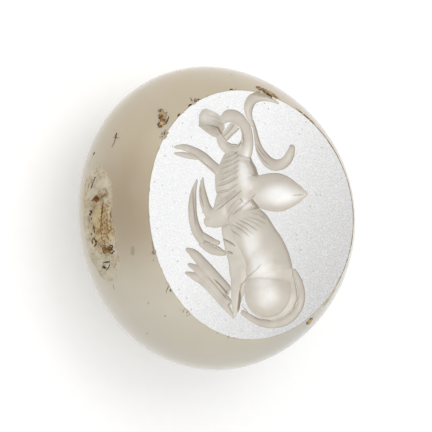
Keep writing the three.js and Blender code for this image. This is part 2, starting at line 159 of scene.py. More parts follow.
# Fine strokes on the floors of the hollows: (width, depth share, [(u, v), ...]), the places as they
# are seen through the face from where the photograph was taken
STROKES = [
    (0.24, 1, [(-3.9, 7.02), (-3.3, 6.88), (-2.85, 6.75), (-2.6, 6.4), (-2.3, 5.95), (-2, 5.65)]),
    (0.12, 0.8, [(-3.9, 7.8), (-3, 7.55), (-2.2, 7.2)]), (0.1, 0.8, [(-3.8, 7.5), (-3, 7.25), (-2.4, 7)]),
    (0.26, 1, [(-2.35, 6.1), (-1.8, 6.55), (-1.27, 7.05)]),
    (0.17, 1.1, [(-2.15, 5.75), (-1.5, 6.25), (-0.68, 6.8)]),
    (0.24, 1.2, [(-0.68, 6.8), (-0.46, 6.3), (-0.52, 5.8), (-0.95, 5.38), (-1.6, 5.42), (-2.1, 5.68)]),
    (0.28, 1.2, [(-0.5, 6.1), (-0.42, 5.75), (-0.55, 5.35)]),
    (0.2, 1, [(-2.35, 4.4), (-1.6, 4.65), (-0.98, 4.95)]),
    (0.24, 1, [(-2.6, 4), (-1.75, 4.25), (-0.95, 4.6)]),
    (0.2, 1, [(-2.65, 3.6), (-1.7, 3.92), (-0.9, 4.25)]),
    (0.26, 1, [(-2.6, 3.15), (-1.7, 3.5), (-1, 3.85)]),
    (0.22, 1, [(-2.8, 2.7), (-1.8, 3.15), (-0.95, 3.5)]),
    (0.26, 1, [(-3.1, 2.25), (-2.05, 2.57), (-1.1, 2.95)]),
    (0.2, 1, [(-3.15, 1.72), (-2.1, 1.92), (-1.2, 2.4)]),
    (0.24, 1, [(-3.2, 1.05), (-2.2, 1.38), (-1.45, 1.9)]),
    (0.16, 1, [(-3.5, 0.6), (-2.5, 1.15), (-1.3, 1.85)]),
    (0.2, 1.2, [(-3.3, 0.34), (-2.15, 1.1), (-0.85, 1.87)]),
    (0.18, 1.2, [(-1.8, -0.03), (-0.55, 0.82), (0.6, 1.65)]),
    (0.13, 1, [(-1.15, -5.3), (-0.5, -4.8), (0.2, -4.35), (0.75, -3.9)]),
    (0.12, 1, [(0, 0.05), (0.7, -0.1), (1.35, -0.4)]),
    (0.14, 1, [(-0.3, -0.22), (0.55, -0.45), (1.35, -0.8)]),
    (0.11, 1, [(-0.75, -0.3), (0.1, -0.62), (0.95, -1.05)]),
    (0.14, 1, [(-1.3, -0.4), (-0.4, -0.78), (0.5, -1.3)]),
    (0.11, 1, [(-1.65, -0.55), (-0.75, -1), (0.15, -1.6)]),
    (0.14, 1, [(-1.95, -0.75), (-1.05, -1.2), (-0.2, -1.8)]),
    (0.12, 1, [(-2, -1.2), (-1.5, -1.5), (-1, -1.85)]),
    (0.22, 1.3, [(-2.8, -1.9), (-2.25, -2.15), (-1.7, -2.45)]),
    (0.22, 1.3, [(-2.5, -2.9), (-2.2, -2.95), (-1.95, -3.05)]),
    (0.24, 1.6, [(-1.43, -5.9), (-1.5, -6.5), (-1.62, -7.1), (-1.72, -7.6)]),
    (0.16, 1, [(-1.4, -5.9), (-1.3, -5.5), (-0.8, -5.15)]),
    (0.16, 1.2, [(-1.3, -7.05), (-0.7, -7.75), (0.2, -8.2), (1.4, -8.38), (2.6, -8.15), (3.5, -7.6),
        (4.02, -6.7), (3.98, -6), (3.8, -5.2), (3.72, -4.5)]),
    (0.16, 1, [(0.6, 5.45), (0.9, 4.85), (1.4, 4.2), (2, 3.8)]),
    (0.14, 1, [(0.78, 5.5), (1.15, 4.9), (1.7, 4.35)]),
    (0.14, 1, [(0.5, 7.4), (0.78, 6.7), (1, 5.8), (1.2, 5.3)]),
    (0.18, 1.3, [(-3.8, -5), (-3.2, -5.57), (-2.5, -6.25)]),
    (0.18, 1.3, [(-4.5, -4.72), (-3.6, -5.62), (-2.7, -6.6)]),
    (0.16, 1, [(-5.6, 4.88), (-5, 4.55), (-4.4, 4.12), (-3.6, 3.55), (-3.1, 3.12)]),
    (0.14, 1, [(-5.42, 2), (-5.48, 1), (-5.42, 0), (-5.3, -0.9)]),
    (0.14, 1, [(-4.7, 2.2), (-4.72, 1.4), (-4.5, 0.6)]),
    (0.18, 1.4, [(-4.75, -1.92), (-4, -2.25), (-3.3, -2.52), (-2.8, -2.8)]),
    (0.12, 1, [(4, 1.42), (5.1, 1.47)]),
]

# Where two cuts run into each other without an edge: (u, v) and how far the join reaches
SOFT_JOINS = [((2.3, -5.2), (1.5, 1.3)), ((-0.05, 4.8), (0.6, 0.7)), ((1.1, 2.4), (0.7, 0.8))]

# How cuts are made: a round end's length as a share of half the width, a stroke's tip as a share of its
# width, how far the muzzle's cutter stands over the face, where the engraving lies, and how near two
# points are merged, in metres
ROUND_END = 0.8
STROKE_TIP = 0.35
MUZZLE_RISE = 0.3
ENGRAVING_REACH = 9.4
ENGRAVING_BOTTOM = 11
WELD = 0.001 * MM

# Worn chips that make each mouth of the string hole long: (along the stone's edge, height over the
# widest plane, half sizes deep, along, up)
MOUTH_CHIPS = [
    (0, 0.25, (0.5, 2.9, 1.95)), (2.2, 0.25, (0.42, 1.9, 1.55)), (-2.5, 0.35, (0.46, 2, 1.5)),
]

# Ragged pits and chips: (degrees round the stone, height over the widest plane, half sizes across,
# along and deep)
PITS = [
    (132, 3.46, (0.2, 0.2, 0.16)), (133.5, 3.78, (0.36, 0.34, 0.26)), (136, 4.02, (0.36, 0.32, 0.26)),
    (137.5, 3.98, (0.28, 0.26, 0.22)), (141.5, 4.5, (0.46, 0.28, 0.18)), (80.5, 4.1, (0.34, 0.28, 0.2)),
    (77.5, 4.28, (0.36, 0.34, 0.26)), (75, 4.36, (0.4, 0.34, 0.26)), (72, 4.44, (0.34, 0.24, 0.18)),
    (119, 4.5, (0.26, 0.16, 0.12)), (95.5, 4.5, (0.14, 0.1, 0.08)), (112, 4.53, (0.2, 0.08, 0.07)),
    (127, 4.53, (0.26, 0.08, 0.07)), (149, 4.53, (0.24, 0.08, 0.07)), (157.5, 4.53, (0.3, 0.07, 0.06)),
    (168, 4.53, (0.2, 0.07, 0.06)), (180.5, 4.53, (0.3, 0.07, 0.06)), (196.5, 4.52, (0.26, 0.12, 0.09)),
    (205, 4.53, (0.3, 0.07, 0.06)), (213.5, 4.5, (0.24, 0.14, 0.1)), (222, 4.53, (0.24, 0.07, 0.06)),
    (229.5, 4.52, (0.24, 0.13, 0.1)), (240, 4.53, (0.3, 0.07, 0.06)), (254, 4.52, (0.18, 0.11, 0.08)),
    (257, 4.5, (0.14, 0.1, 0.08)), (266, 4.52, (0.6, 0.09, 0.07)), (57.5, 4.4, (0.4, 0.14, 0.12)),
    (53, 4.42, (0.4, 0.18, 0.14)), (48.5, 4.42, (0.42, 0.2, 0.15)), (35, 4.5, (0.5, 0.1, 0.08)),
    (302.5, 4.2, (0.34, 0.28, 0.16)), (315, 4.3, (0.6, 0.2, 0.12)), (321, 4.36, (0.4, 0.16, 0.1)),
    (148.5, 1.36, (0.12, 0.3, 0.07)), (154.5, -0.88, (0.12, 0.14, 0.07)), (170, 1.35, (0.36, 0.34, 0.24)),
    (172, 0.02, (0.28, 0.32, 0.3)), (191.5, 1.52, (0.26, 0.26, 0.18)), (191.5, 0.9, (0.32, 0.34, 0.16)),
    (196.5, 0.8, (0.12, 0.42, 0.12)), (198, 0.45, (0.24, 0.24, 0.14)), (216.5, 2.84, (0.09, 0.09, 0.05)),
    (90.5, 2.93, (0.08, 0.08, 0.05)), (164.5, 0.15, (0.12, 0.4, 0.09)),
]

# Burial deposits in the pits: (degrees round the stone, height over the widest plane), and the lumps
# that each is made of: (sideways, up, half sizes across, along and deep, how far it is sunk)
DEPOSITS = {
    "shoulder_pit_crust": ((134.9, 3.98), [
        (-0.52, -0.48, (0.2, 0.22, 0.15), 0.08), (-0.27, -0.24, (0.24, 0.26, 0.18), 0.11),
        (0, 0, (0.26, 0.26, 0.18), 0.12), (0.25, 0.04, (0.24, 0.22, 0.18), 0.1),
        (0.48, 0, (0.2, 0.2, 0.18), 0.06)]),
    "upper_rim_crust": ((76.6, 4.18), [
        (0.66, -0.12, (0.28, 0.21, 0.15), 0.09), (0.23, -0.02, (0.34, 0.25, 0.18), 0.11),
        (-0.23, 0.02, (0.34, 0.24, 0.18), 0.08), (-0.59, 0.04, (0.28, 0.2, 0.15), 0.1)]),
    "left_rim_crust": ((196.5, 4.42), [(0, 0, (0.22, 0.13, 0.12), 0.05)]),
    "lower_rim_crust": ((302, 4.12), [
        (0, 0, (0.28, 0.21, 0.15), 0.05), (0.26, 0.02, (0.2, 0.16, 0.13), 0.05)]),
    "mouth_upper_crust": ((171, 0.68), [
        (0.2, -0.66, (0.2, 0.26, 0.18), 0.36), (0.06, -0.26, (0.2, 0.3, 0.18), 0.32),
        (-0.06, 0.18, (0.22, 0.32, 0.18), 0.23), (-0.16, 0.62, (0.25, 0.28, 0.17), 0.14)]),
    "mouth_lower_crust": ((191.8, 1.1), [
        (-0.02, -0.22, (0.24, 0.27, 0.14), 0.11), (0.02, 0.24, (0.2, 0.3, 0.13), 0.08)]),
}

# Fine dark and brown marks on the surface: (colour, half width, [(degrees round, height), ...])
MARKS = [
    ("dark", 0.09, [(153.5, -0.8), (155, -0.9)]),
    ("faint", 0.05, [(155, -0.9), (157, -1.1), (159.5, -1.3)]),
    ("dark", 0.08, [(163.5, 0.2), (165.5, 0), (168, -0.3)]), ("brown", 0.05, [(166, -0.6), (168, -0.8)]),
    ("brown", 0.06, [(165, 0.4)]), ("dark", 0.06, [(162.5, 0.1), (162.5, 0)]),
    ("brown", 0.05, [(163, 0.6), (163.5, 0.5)]),
    ("brown", 0.07, [(170.5, 1.7), (171.5, 0.9), (173.5, 0.5)]), ("orange", 0.2, [(172, 0)]),
    ("brown", 0.12, [(174.5, 1.3), (176.5, 1.2), (179, 1.1), (183.5, 0.9), (188, 0.9)]),
    ("dark", 0.1, [(176, -0.4), (177, -0.2)]), ("dark", 0.1, [(177.5, -0.5)]),
    ("dark", 0.09, [(179, -0.2), (180, -0.2)]), ("dark", 0.11, [(182, 0), (185, 0.1)]),
    ("dark", 0.09, [(185, -0.5)]), ("dark", 0.1, [(187, -0.4), (189, -0.5)]),
    ("dark", 0.09, [(186.5, -0.1), (189, 0.1), (190, -0.3)]), ("dark", 0.06, [(189, -1.2)]),
    ("dark", 0.07, [(191, -0.1)]), ("brown", 0.06, [(194.5, -0.8)]),
    ("brown", 0.07, [(174.5, 1.5), (175.5, 1.9)]), ("brown", 0.07, [(177.5, 2), (180, 2)]),
    ("brown", 0.06, [(181, 2.1)]), ("faint", 0.06, [(185.5, 1.4), (187.5, 1.6)]),
    ("faint", 0.06, [(177.5, 1.6), (179, 1.6)]), ("brown", 0.1, [(189.5, 0.5), (192, 1), (193.5, 1.6)]),
    ("brown", 0.26, [(191.5, 0.9)]),
    ("dark", 0.08, [(190, 1.5), (190.5, 1.8), (192, 1.7), (192, 1.4), (191, 1.3)]),
    ("dark", 0.09, [(192.5, 1.2), (193.5, 1.6), (192.5, 1.9)]),
    ("dark", 0.13, [(196.5, 0.4), (196.5, 1.2)]), ("dark", 0.18, [(198, 0.2)]),
    ("dark", 0.08, [(199.5, 0.5), (198.5, 0.9), (197.5, 1.1)]), ("faint", 0.04, [(197, 1.8), (199, 1.4)]),
    ("faint", 0.04, [(185, 2.2), (191.5, 2.1)]), ("smudge", 0.16, [(193, 3.3), (195, 3.2)]),
    ("brown", 0.04, [(205, 0.7), (207.5, 0.6)]), ("dark", 0.1, [(146.5, 1.2), (148.5, 1.3)]),
    ("dark", 0.05, [(148.5, 1.3), (150, 1.4), (152.5, 1.3)]), ("dark", 0.08, [(131.5, 3.4), (132.5, 3.5)]),
    ("dark", 0.08, [(132.5, 4.1), (134.5, 4.2), (136, 4.2)]), ("brown", 0.11, [(133.5, 3.7), (135.5, 3.8)]),
    ("orange", 0.2, [(138, 4)]), ("dark", 0.08, [(137, 3.9), (138.5, 3.9)]),
    ("dark", 0.05, [(140, 4.4), (141.5, 4.5)]), ("dark", 0.05, [(141.5, 4.3), (141, 4.5)]),
    ("brown", 0.05, [(143.5, 4.3), (142, 4.5)]), ("faint", 0.06, [(139, 4.4), (139.5, 4.4)]),
    ("dark", 0.06, [(118.5, 4.1), (119.5, 4.4)]), ("dark", 0.06, [(117, 4.3), (118, 4.4), (119, 4.5)]),
    ("brown", 0.08, [(118, 4.5), (117, 4.4)]), ("dark", 0.06, [(90.5, 2.9)]),
    ("dark", 0.05, [(95.5, 4.45)]), ("dark", 0.09, [(81, 4), (80, 4)]), ("dark", 0.07, [(76.5, 4)]),
    ("dark", 0.08, [(77.5, 4.4), (76, 4.45), (74.5, 4.5)]), ("brown", 0.1, [(79, 4.2), (77.5, 4.2)]),
    ("brown", 0.08, [(72.5, 4.3), (71, 4.4)]), ("brown", 0.09, [(57.5, 4.4), (53.5, 4.4), (49, 4.4)]),
    ("dark", 0.05, [(50, 4.45), (47.5, 4.5)]),
    # The long dark line round the right rim of the face is painted shade at its edge, made as a ridge of
    # dark earth
    ("dark", 0.06, [(46, 4.5), (35, 4.5), (20, 4.5), (5, 4.5), (-10, 4.5), (-25, 4.5), (-36, 4.5)]),
    ("tan", 0.22, [(302.5, 4.2)]), ("dark", 0.07, [(300.5, 4.2)]), ("dark", 0.05, [(303.5, 4.2)]),
    ("brown", 0.05, [(302, 4.5)]), ("green", 0.2, [(312.5, 3.9), (315, 4.2), (317.5, 4.4)]),
    ("tan", 0.12, [(318.5, 4.5), (325, 4.3)]), ("dark", 0.05, [(310, 4.3)]), ("dark", 0.05, [(319, 4.2)]),
    ("faint", 0.04, [(216, 4.2), (213.5, 4.5)]), ("brown", 0.03, [(215.5, 4.2), (214, 4.5)]),
    ("brown", 0.06, [(216.5, 2.8)]), ("brown", 0.05, [(229.5, 4.4), (229, 4.5)]),
    ("faint", 0.04, [(227, 4.5), (228, 4.3)]), ("faint", 0.04, [(231, 4.5), (230.5, 4.3)]),
    ("brown", 0.06, [(226, 4.3)]), ("faint", 0.08, [(225, 3.3)]), ("faint", 0.07, [(228.5, 1)]),
    ("dark", 0.08, [(254, 4.5)]), ("dark", 0.06, [(257, 4.5)]), ("faint", 0.06, [(248, 4.5)]),
    ("faint", 0.06, [(192, 4.5), (195, 4.5)]), ("dark", 0.05, [(200, 4.3)]),
]

# Marks of dark, brown and orange earth are ridges: their radius as a share of the half width, how far
# they are sunk as a share of the radius, how rough they are, and how far a lone dot is drawn out
RIDGE_SHARE = 0.8
RIDGE_SUNK = 0.62
RIDGE_ROUGHNESS = 0.35
DOT_DEGREES = 4.8
DOT_RISE = 0.3

# The other marks are stains: their colours as (red, green, blue) and their strengths
STAIN_TONES = {"faint": ((150, 132, 104), 0.7), "smudge": ((150, 144, 116), 0.6),
               "green": ((190, 192, 156), 0.8), "tan": ((206, 180, 140), 0.9)}

# Soft zones of colour: (degrees round the stone, height), the reach along X, Y and Z, and the share of
# the reach where the zone is full
MOUTH_ZONES = [((189, 0.35), (3, 3.3, 2.1), 0.8), ((173, 0.2), (3, 2.9, 2), 0.8),
               ((196.5, 0.3), (3, 1.7, 1.3), 0.75)]
MOUTH_MIDDLE = ((182, 0.7), (2.5, 2.7, 2), 0.5)
MOUTH_CORE = ((182, 1.1), (2.5, 2.5, 1.5), 0.5)
ORANGE_END = ((172, 0), (0.75, 0.75, 0.75), 0.7)
# This zone is painted shade: the string hole's shadow, seen through the stone, browns the dome's left side
BORE_SHADOW_ZONE = ((176, 3), (6, 6.5, 5), 0.1)
GREY_ZONE = ((305, 1), (9, 8, 8), 0.2)

# Painted highlights on the floors of the cuts: (u, v) in the middle, how far each reaches, and how strong
PAINTED_FLOOR_HIGHLIGHTS = [
    ((-3.3, 7.6), (1.3, 0.6), 0.6), ((0.15, 3.6), (0.95, 2.4), 1), ((0, 0.9), (1.1, 0.7), 0.8),
    ((3.2, 1.5), (2.6, 1.3), 1), ((0.5, -2.2), (1.3, 1.8), 0.8), ((1.3, -4), (1.5, 1.9), 0.85),
    ((1.7, -5.2), (1.4, 1.5), 0.8), ((1.9, -6.3), (1.6, 2), 0.75),
]

# Chalcedony bends light and lets it in
STONE_IOR = 1.54
STONE_SCATTER = (1.0, 0.85, 0.65)

# How bright the floor and the room are
FLOOR_GLOW = 0.36
FLOOR_GLOW_IN_GLOSS = 0.55
WORLD_LIGHT = 0.72
WORLD_SEEN = 1.0


def srgb(red, green, blue):
    """A colour as a screen shows it, from 0 to 255, in the linear values that shaders take."""
    return tuple((c / 255 / 12.92 if c <= 10 else ((c / 255 + 0.055) / 1.055) ** 2.4)
                 for c in (red, green, blue)) + (1.0,)


def deselect():
    bpy.ops.object.select_all(action="DESELECT")


def select_only(piece):
    deselect()
    piece.select_set(True)
    bpy.context.view_layer.objects.active = piece


def edit_mode():
    bpy.ops.object.mode_set(mode="EDIT")


def edit_all():
    edit_mode()
    bpy.ops.mesh.select_all(action="SELECT")


def object_mode():
    bpy.ops.object.mode_set(mode="OBJECT")


def outline_factor(angle):
    a = angle - OUTLINE_SPIN
    return 1 - OUTLINE_OVAL * sin(2 * a) + OUTLINE_THREE_LOBE * cos(3 * a)


def surface(azimuth, height):
    """A point on the uncut stone in millimetres, and the way the surface faces there."""
    depth = FRONT_DEPTH if height > 0 else BACK_DEPTH
    angle = radians(azimuth)
    radius = BODY_RADIUS * outline_factor(angle) * sqrt(1 - (height / depth) ** 2)
    point = Vector((radius * cos(angle), radius * sin(angle), WIDEST_Z + height))
    run = radius / BODY_RADIUS ** 2
    normal = Vector((cos(angle) * run, sin(angle) * run, height / depth ** 2)).normalized()
    return point, normal


def to_collection(piece, collection):
    for holder in list(piece.users_collection):
        holder.objects.unlink(piece)
    collection.objects.link(piece)


def in_steps(path, steps=4):
    """The places of a path as vectors, with even steps between them."""
    path = [Vector(spot) for spot in path]
    between = [start.lerp(end, k / steps) for start, end in zip(path, path[1:]) for k in range(steps)]
    return between + path[-1:]


# Shaping the stone


def cut_away(stone, collection):
    """Cuts every solid in the collection out of the stone."""
    select_only(stone)
    faces_before = len(stone.data.polygons)
    cut = stone.modifiers.new("cut", "BOOLEAN")
    cut.operation = "DIFFERENCE"
    cut.operand_type = "COLLECTION"
    cut.collection = collection
    cut.solver = "MANIFOLD"
    bpy.ops.object.modifier_apply(modifier=cut.name)
    if len(stone.data.polygons) == faces_before:
        raise RuntimeError("nothing was cut out of " + stone.name)


def stone_blank():
    """The uncut stone: a ball squashed to its two depths, cut flat at the face and the worn crown."""
    deselect()
    bpy.ops.mesh.primitive_uv_sphere_add(segments=192, ring_count=96, radius=BODY_RADIUS * MM)
    stone = bpy.context.object
    stone.name = "carved_stone"
    for vertex in stone.data.vertices:
        depth = FRONT_DEPTH if vertex.co.z > 0 else BACK_DEPTH
        vertex.co.z *= depth / BODY_RADIUS
        factor = outline_factor(atan2(vertex.co.y, vertex.co.x))
        vertex.co.x *= factor
        vertex.co.y *= factor
        vertex.co.z += WIDEST_Z * MM
    edit_mode()
    for height, way in ((FACE_Z, 1), (0, -1)):
        bpy.ops.mesh.select_all(action="SELECT")
        bpy.ops.mesh.bisect(plane_co=(0, 0, height * MM), plane_no=(0, 0, way), use_fill=True,
                            clear_outer=True, threshold=0.1 * WELD)
    bpy.ops.mesh.select_all(action="DESELECT")
    bpy.ops.mesh.select_mode(type="EDGE")
    object_mode()
    for edge in stone.data.edges:
        edge.select = all(abs(stone.data.vertices[i].co.z - FACE_Z * MM) < WELD for i in edge.vertices)
    edit_mode()
    bpy.ops.mesh.bevel(offset=RIM_BEVEL * MM, segments=3)
    bpy.ops.mesh.select_mode(type="VERT")
    object_mode()
    return stone


def tube(places, radii, sides, steps, twist="Z_UP"):
    """A closed round tube through places in millimetres, with its own radius at each."""
    deselect()
    bpy.ops.curve.primitive_bezier_curve_add()
    data = bpy.context.object.data
    points = data.splines[0].bezier_points
    points.add(len(places) - 2)
    for point, place, radius in zip(points, places, radii):
        point.co = Vector(place) * MM
        point.handle_left_type = point.handle_right_type = "AUTO"
        point.radius = radius
    data.dimensions = "3D"
    data.twist_mode = twist
    data.resolution_u = steps
    data.splines[0].radius_interpolation = "CARDINAL"
    data.bevel_depth = MM
    data.bevel_resolution = sides
    data.use_fill_caps = True
    bpy.ops.object.convert(target="MESH")
    edit_all()
    bpy.ops.mesh.remove_doubles(threshold=WELD)
    bpy.ops.mesh.normals_make_consistent(inside=False)
    object_mode()
    return bpy.context.object


def swept_cutter(stops, depth_share, collection, lift=0.25, sides=9, lean=0.0):
    """A wheel cut: a tube along the stops, squashed to its depth and leaned towards +X."""
    spread = sqrt(1 - lift ** 2)
    squash = depth_share / (1 - lift) * spread
    radii = [width / 2 / spread for _, _, width, _ in stops]
    places = [(u, v, radius * lift - floor / squash) for (u, v, _, floor), radius in zip(stops, radii)]
    made = tube(places, radii, sides, steps=10)
    for vertex in made.data.vertices:
        vertex.co.x -= vertex.co.z * squash * lean
        vertex.co.z = vertex.co.z * squash + FACE_Z * MM
    to_collection(made, collection)


def rounded(stops):
    """Stops at the face, with narrower ones past each end that close the cut in a round."""
    stops = [(*stop, 0.0) for stop in stops]
    out = list(stops)
    for end, beside in ((0, 1), (-1, -2)):
        u, v, width, floor = stops[end]
        away = Vector((u - stops[beside][0], v - stops[beside][1])).normalized()
        for degrees_on in (32, 58, 78):
            reach = away * width / 2 * sin(radians(degrees_on)) * ROUND_END
            extra = (u + reach.x, v + reach.y, width * cos(radians(degrees_on)), floor)
            out = [extra] + out if end == 0 else out + [extra]
    return out


def muzzle_cutter(collection):
    """The hull of the muzzle's outline, on the face and a little over it, and its valley floor."""
    corners = [(u, v, FACE_Z + up) for u, v in MUZZLE_OUTLINE for up in (0, MUZZLE_RISE)]
    corners += [(u, v, FACE_Z - depth) for u, v, depth in MUZZLE_VALLEY]
    deselect()
    bpy.ops.mesh.primitive_plane_add(size=1)
    solid = bpy.context.object
    edit_mode()
    bpy.ops.mesh.subdivide(number_cuts=4)
    object_mode()
    for k, vertex in enumerate(solid.data.vertices):
        vertex.co = Vector(corners[k % len(corners)]) * MM
    edit_all()
    bpy.ops.mesh.delete(type="EDGE_FACE")
    bpy.ops.mesh.select_all(action="SELECT")
    bpy.ops.mesh.remove_doubles(threshold=WELD)
    bpy.ops.mesh.convex_hull()
    bpy.ops.mesh.quads_convert_to_tris()
    bpy.ops.mesh.normals_make_consistent(inside=False)
    object_mode()
    to_collection(solid, collection)


def bowl_cutter(u, v, across, along, depth, collection, lift=0.3):
    """Part of a ball, squashed so that it meets the face in the given oval and goes to the depth."""
    spread = sqrt(1 - lift ** 2)
    deselect()
    bpy.ops.mesh.primitive_uv_sphere_add(segments=96, ring_count=64, radius=1)
    ball = bpy.context.object
    down = depth / (1 - lift)
    shape = Matrix.Diagonal((across / spread, along / spread, down, 1))
    ball.data.transform(Matrix.Scale(MM, 4) @ Matrix.Translation((u, v, FACE_Z + lift * down)) @ shape)
    to_collection(ball, collection)


def surface_frame(azimuth, height, sunk=0.0):
    """The place of a point on or under the surface, its axes across, along and out of the stone."""
    point, normal = surface(azimuth, height)
    across = Vector((0, 0, 1)).cross(normal).normalized()
    along = normal.cross(across)
    turn = Matrix((across, along, normal)).transposed().to_4x4()
    return Matrix.Scale(MM, 4) @ Matrix.Translation(point - normal * sunk) @ turn


def noisy_ball(factor, subdivisions=5):
    """A ball of radius 1 whose points are pushed in or out by a factor of their place."""
    deselect()
    bpy.ops.mesh.primitive_ico_sphere_add(subdivisions=subdivisions, radius=1)
    ball = bpy.context.object
    for vertex in ball.data.vertices:
        vertex.co *= factor(vertex.co)
    return ball


def lump(azimuth, height, half, seed, sunk=0.0, rough=0.45, subdivisions=5):
    """A ragged lump: a ball pushed in and out by noise, its short axis out of the stone."""
    def factor(place):
        big = noise.noise(place * 1.7 + Vector((seed, 0, 0)))
        small = noise.noise(place * 4.5 + Vector((0, seed, 0)))
        return 1 + rough * (big + 0.5 * small)

    made = noisy_ball(factor, subdivisions)
    made.data.transform(surface_frame(azimuth, height, sunk) @ Matrix.Diagonal((*half, 1)))
    return made


def bore_cutters(collection):
    """The string hole's drill, and the worn chips at both of its mouths."""
    deselect()
    bpy.ops.mesh.primitive_cylinder_add(vertices=64, radius=BORE_RADIUS * MM, depth=4 * BODY_RADIUS * MM)
    drill = bpy.context.object
    drill.data.transform(Matrix.Translation((0, BORE_Y * MM, BORE_Z * MM)) @ Matrix.Rotation(pi / 2, 4, "Y"))
    to_collection(drill, collection)
    for side in (-1, 1):
        edge = side * BODY_RADIUS * outline_factor(pi if side < 0 else 0)
        for k, (across, up, half) in enumerate(MOUTH_CHIPS):
            shift = Vector((k * 3 + side, 0, 0))
            chip = noisy_ball(lambda place: 1 + CHIP_ROUGHNESS * noise.noise(place * 2.2 + shift))
            middle = Matrix.Translation((edge, -side * across, WIDEST_Z + up))
            chip.data.transform(Matrix.Scale(MM, 4) @ middle @ Matrix.Diagonal((*half, 1)))
            to_collection(chip, collection)


def camera_way():
    """From the stone towards the place that the photograph was taken from."""
    return Matrix.Rotation(OUTLINE_SPIN, 3, "Z") @ Vector((-sin(CAMERA_YAW), 0, cos(CAMERA_YAW)))


def stroke_cutter(trial, width, depth_share, path, collection):
    """A fine stroke that follows the floor of the trial stone along its path, thin at both ends."""
    toward = camera_way()
    spots = in_steps(path)
    stops = []
    for k, (u, v) in enumerate(spots):
        hit, place, _, _ = trial.ray_cast((Vector((u, v, FACE_Z)) + toward) * MM, -toward)
        share = k / (len(spots) - 1)
        taper = min(1, STROKE_TIP + 3 * share, STROKE_TIP + 3 * (1 - share))
        if hit:
            stops.append((place.x / MM, place.y / MM, width * taper, FACE_Z - place.z / MM))
    swept_cutter(stops, depth_share, collection, lift=0.0, sides=1)


def carve(stone):
    """Cuts the engraving, the string hole and the chips out of the stone. The fine strokes are laid
    on the floors of a trial copy that has the other cuts."""
    cuts = bpy.data.collections.new("cuts")
    bpy.context.scene.collection.children.link(cuts)
    bore_cutters(cuts)
    muzzle_cutter(cuts)
    for depth_share, stops in HOLLOWS.values():
        swept_cutter(rounded(stops), depth_share, cuts)
    neck_share, neck_stops = NECK
    swept_cutter(rounded(neck_stops), neck_share, cuts, lean=NECK_LEAN)
    for (u, v), (across, along), depth in BOWLS.values():
        bowl_cutter(u, v, across, along, depth, cuts)
    for k, (azimuth, height, half) in enumerate(PITS):
        to_collection(lump(azimuth, height, half, seed=7.3 * k, subdivisions=4), cuts)
    trial = stone.copy()
    trial.data = stone.data.copy()
    bpy.context.scene.collection.objects.link(trial)
    cut_away(trial, cuts)
    for width, depth_share, path in STROKES:
        stroke_cutter(trial, width, depth_share, path, cuts)
    bpy.data.objects.remove(trial)
    cut_away(stone, cuts)
    for piece in list(cuts.objects):
        bpy.data.objects.remove(piece)
    bpy.data.collections.remove(cuts)


def soften(stone):
    """Rubs down the creases between cuts in the places of SOFT_JOINS, and stays in edit mode."""
    bpy.ops.mesh.select_mode(type="VERT")
    bpy.ops.mesh.select_all(action="DESELECT")
    object_mode()
    for vertex in stone.data.vertices:
        x, y, z = vertex.co / MM
        vertex.select = FACE_Z - 2.5 < z < FACE_Z - 0.3 and any(
            hypot((x - u) / reach_u, (y - v) / reach_v) < 1 for (u, v), (reach_u, reach_v) in SOFT_JOINS)
    edit_mode()
    bpy.ops.mesh.vertices_smooth(factor=0.5, repeat=12)


def finish_stone(stone):
    """Merges and softens the cut stone, and gives each side of it its material."""
    select_only(stone)
    edit_all()
    bpy.ops.mesh.remove_doubles(threshold=0.5 * WELD)
    soften(stone)
    object_mode()
    bpy.ops.object.shade_smooth_by_angle(angle=radians(32))
    stone.data.materials.clear()
    for material in (polished_stone(), frosted_ground(), cut_stone(), bore_stone()):
        stone.data.materials.append(material)
    back, face, engraving, hole = range(4)
    for polygon in stone.data.polygons:
        x, y, z = polygon.center / MM
        if z > FACE_Z - 4 * WELD / MM:
            polygon.material_index = face
        elif hypot(x, y) < ENGRAVING_REACH and z > ENGRAVING_BOTTOM:
            polygon.material_index = engraving
        elif hypot(y - BORE_Y, z - BORE_Z) < BORE_RADIUS * 1.05:
            polygon.material_index = hole
        else:
            polygon.material_index = back


def hole_fill():
    """The pale earth in the mouth of the string hole: a plug with a rough outer face."""
    deselect()
    bpy.ops.mesh.primitive_uv_sphere_add(segments=96, ring_count=96, radius=1)
    plug = bpy.context.object
    half = (FILL_INNER_X - FILL_OUTER_X) / 2
    for vertex in plug.data.vertices:
        x, y, z = vertex.co
        share = max(hypot(x, y), abs(z)) or 1.0
        along, round_x, round_y = z / share, x / share, y / share
        if along < 0:
            broad = noise.noise(Vector((round_x, round_y, 0)) * 3)
            fine = noise.noise(Vector((round_x, round_y, 4)) * 9)
            along -= FILL_ROUGHNESS * (broad + 0.5 * fine)
        vertex.co = Vector((round_x * FILL_RADIUS, round_y * FILL_RADIUS, along * half))
    middle = Matrix.Translation(((FILL_INNER_X + FILL_OUTER_X) / 2, BORE_Y, BORE_Z))
    plug.data.transform(Matrix.Scale(MM, 4) @ middle @ Matrix.Rotation(pi / 2, 4, "Y"))
    return plug


# Materials


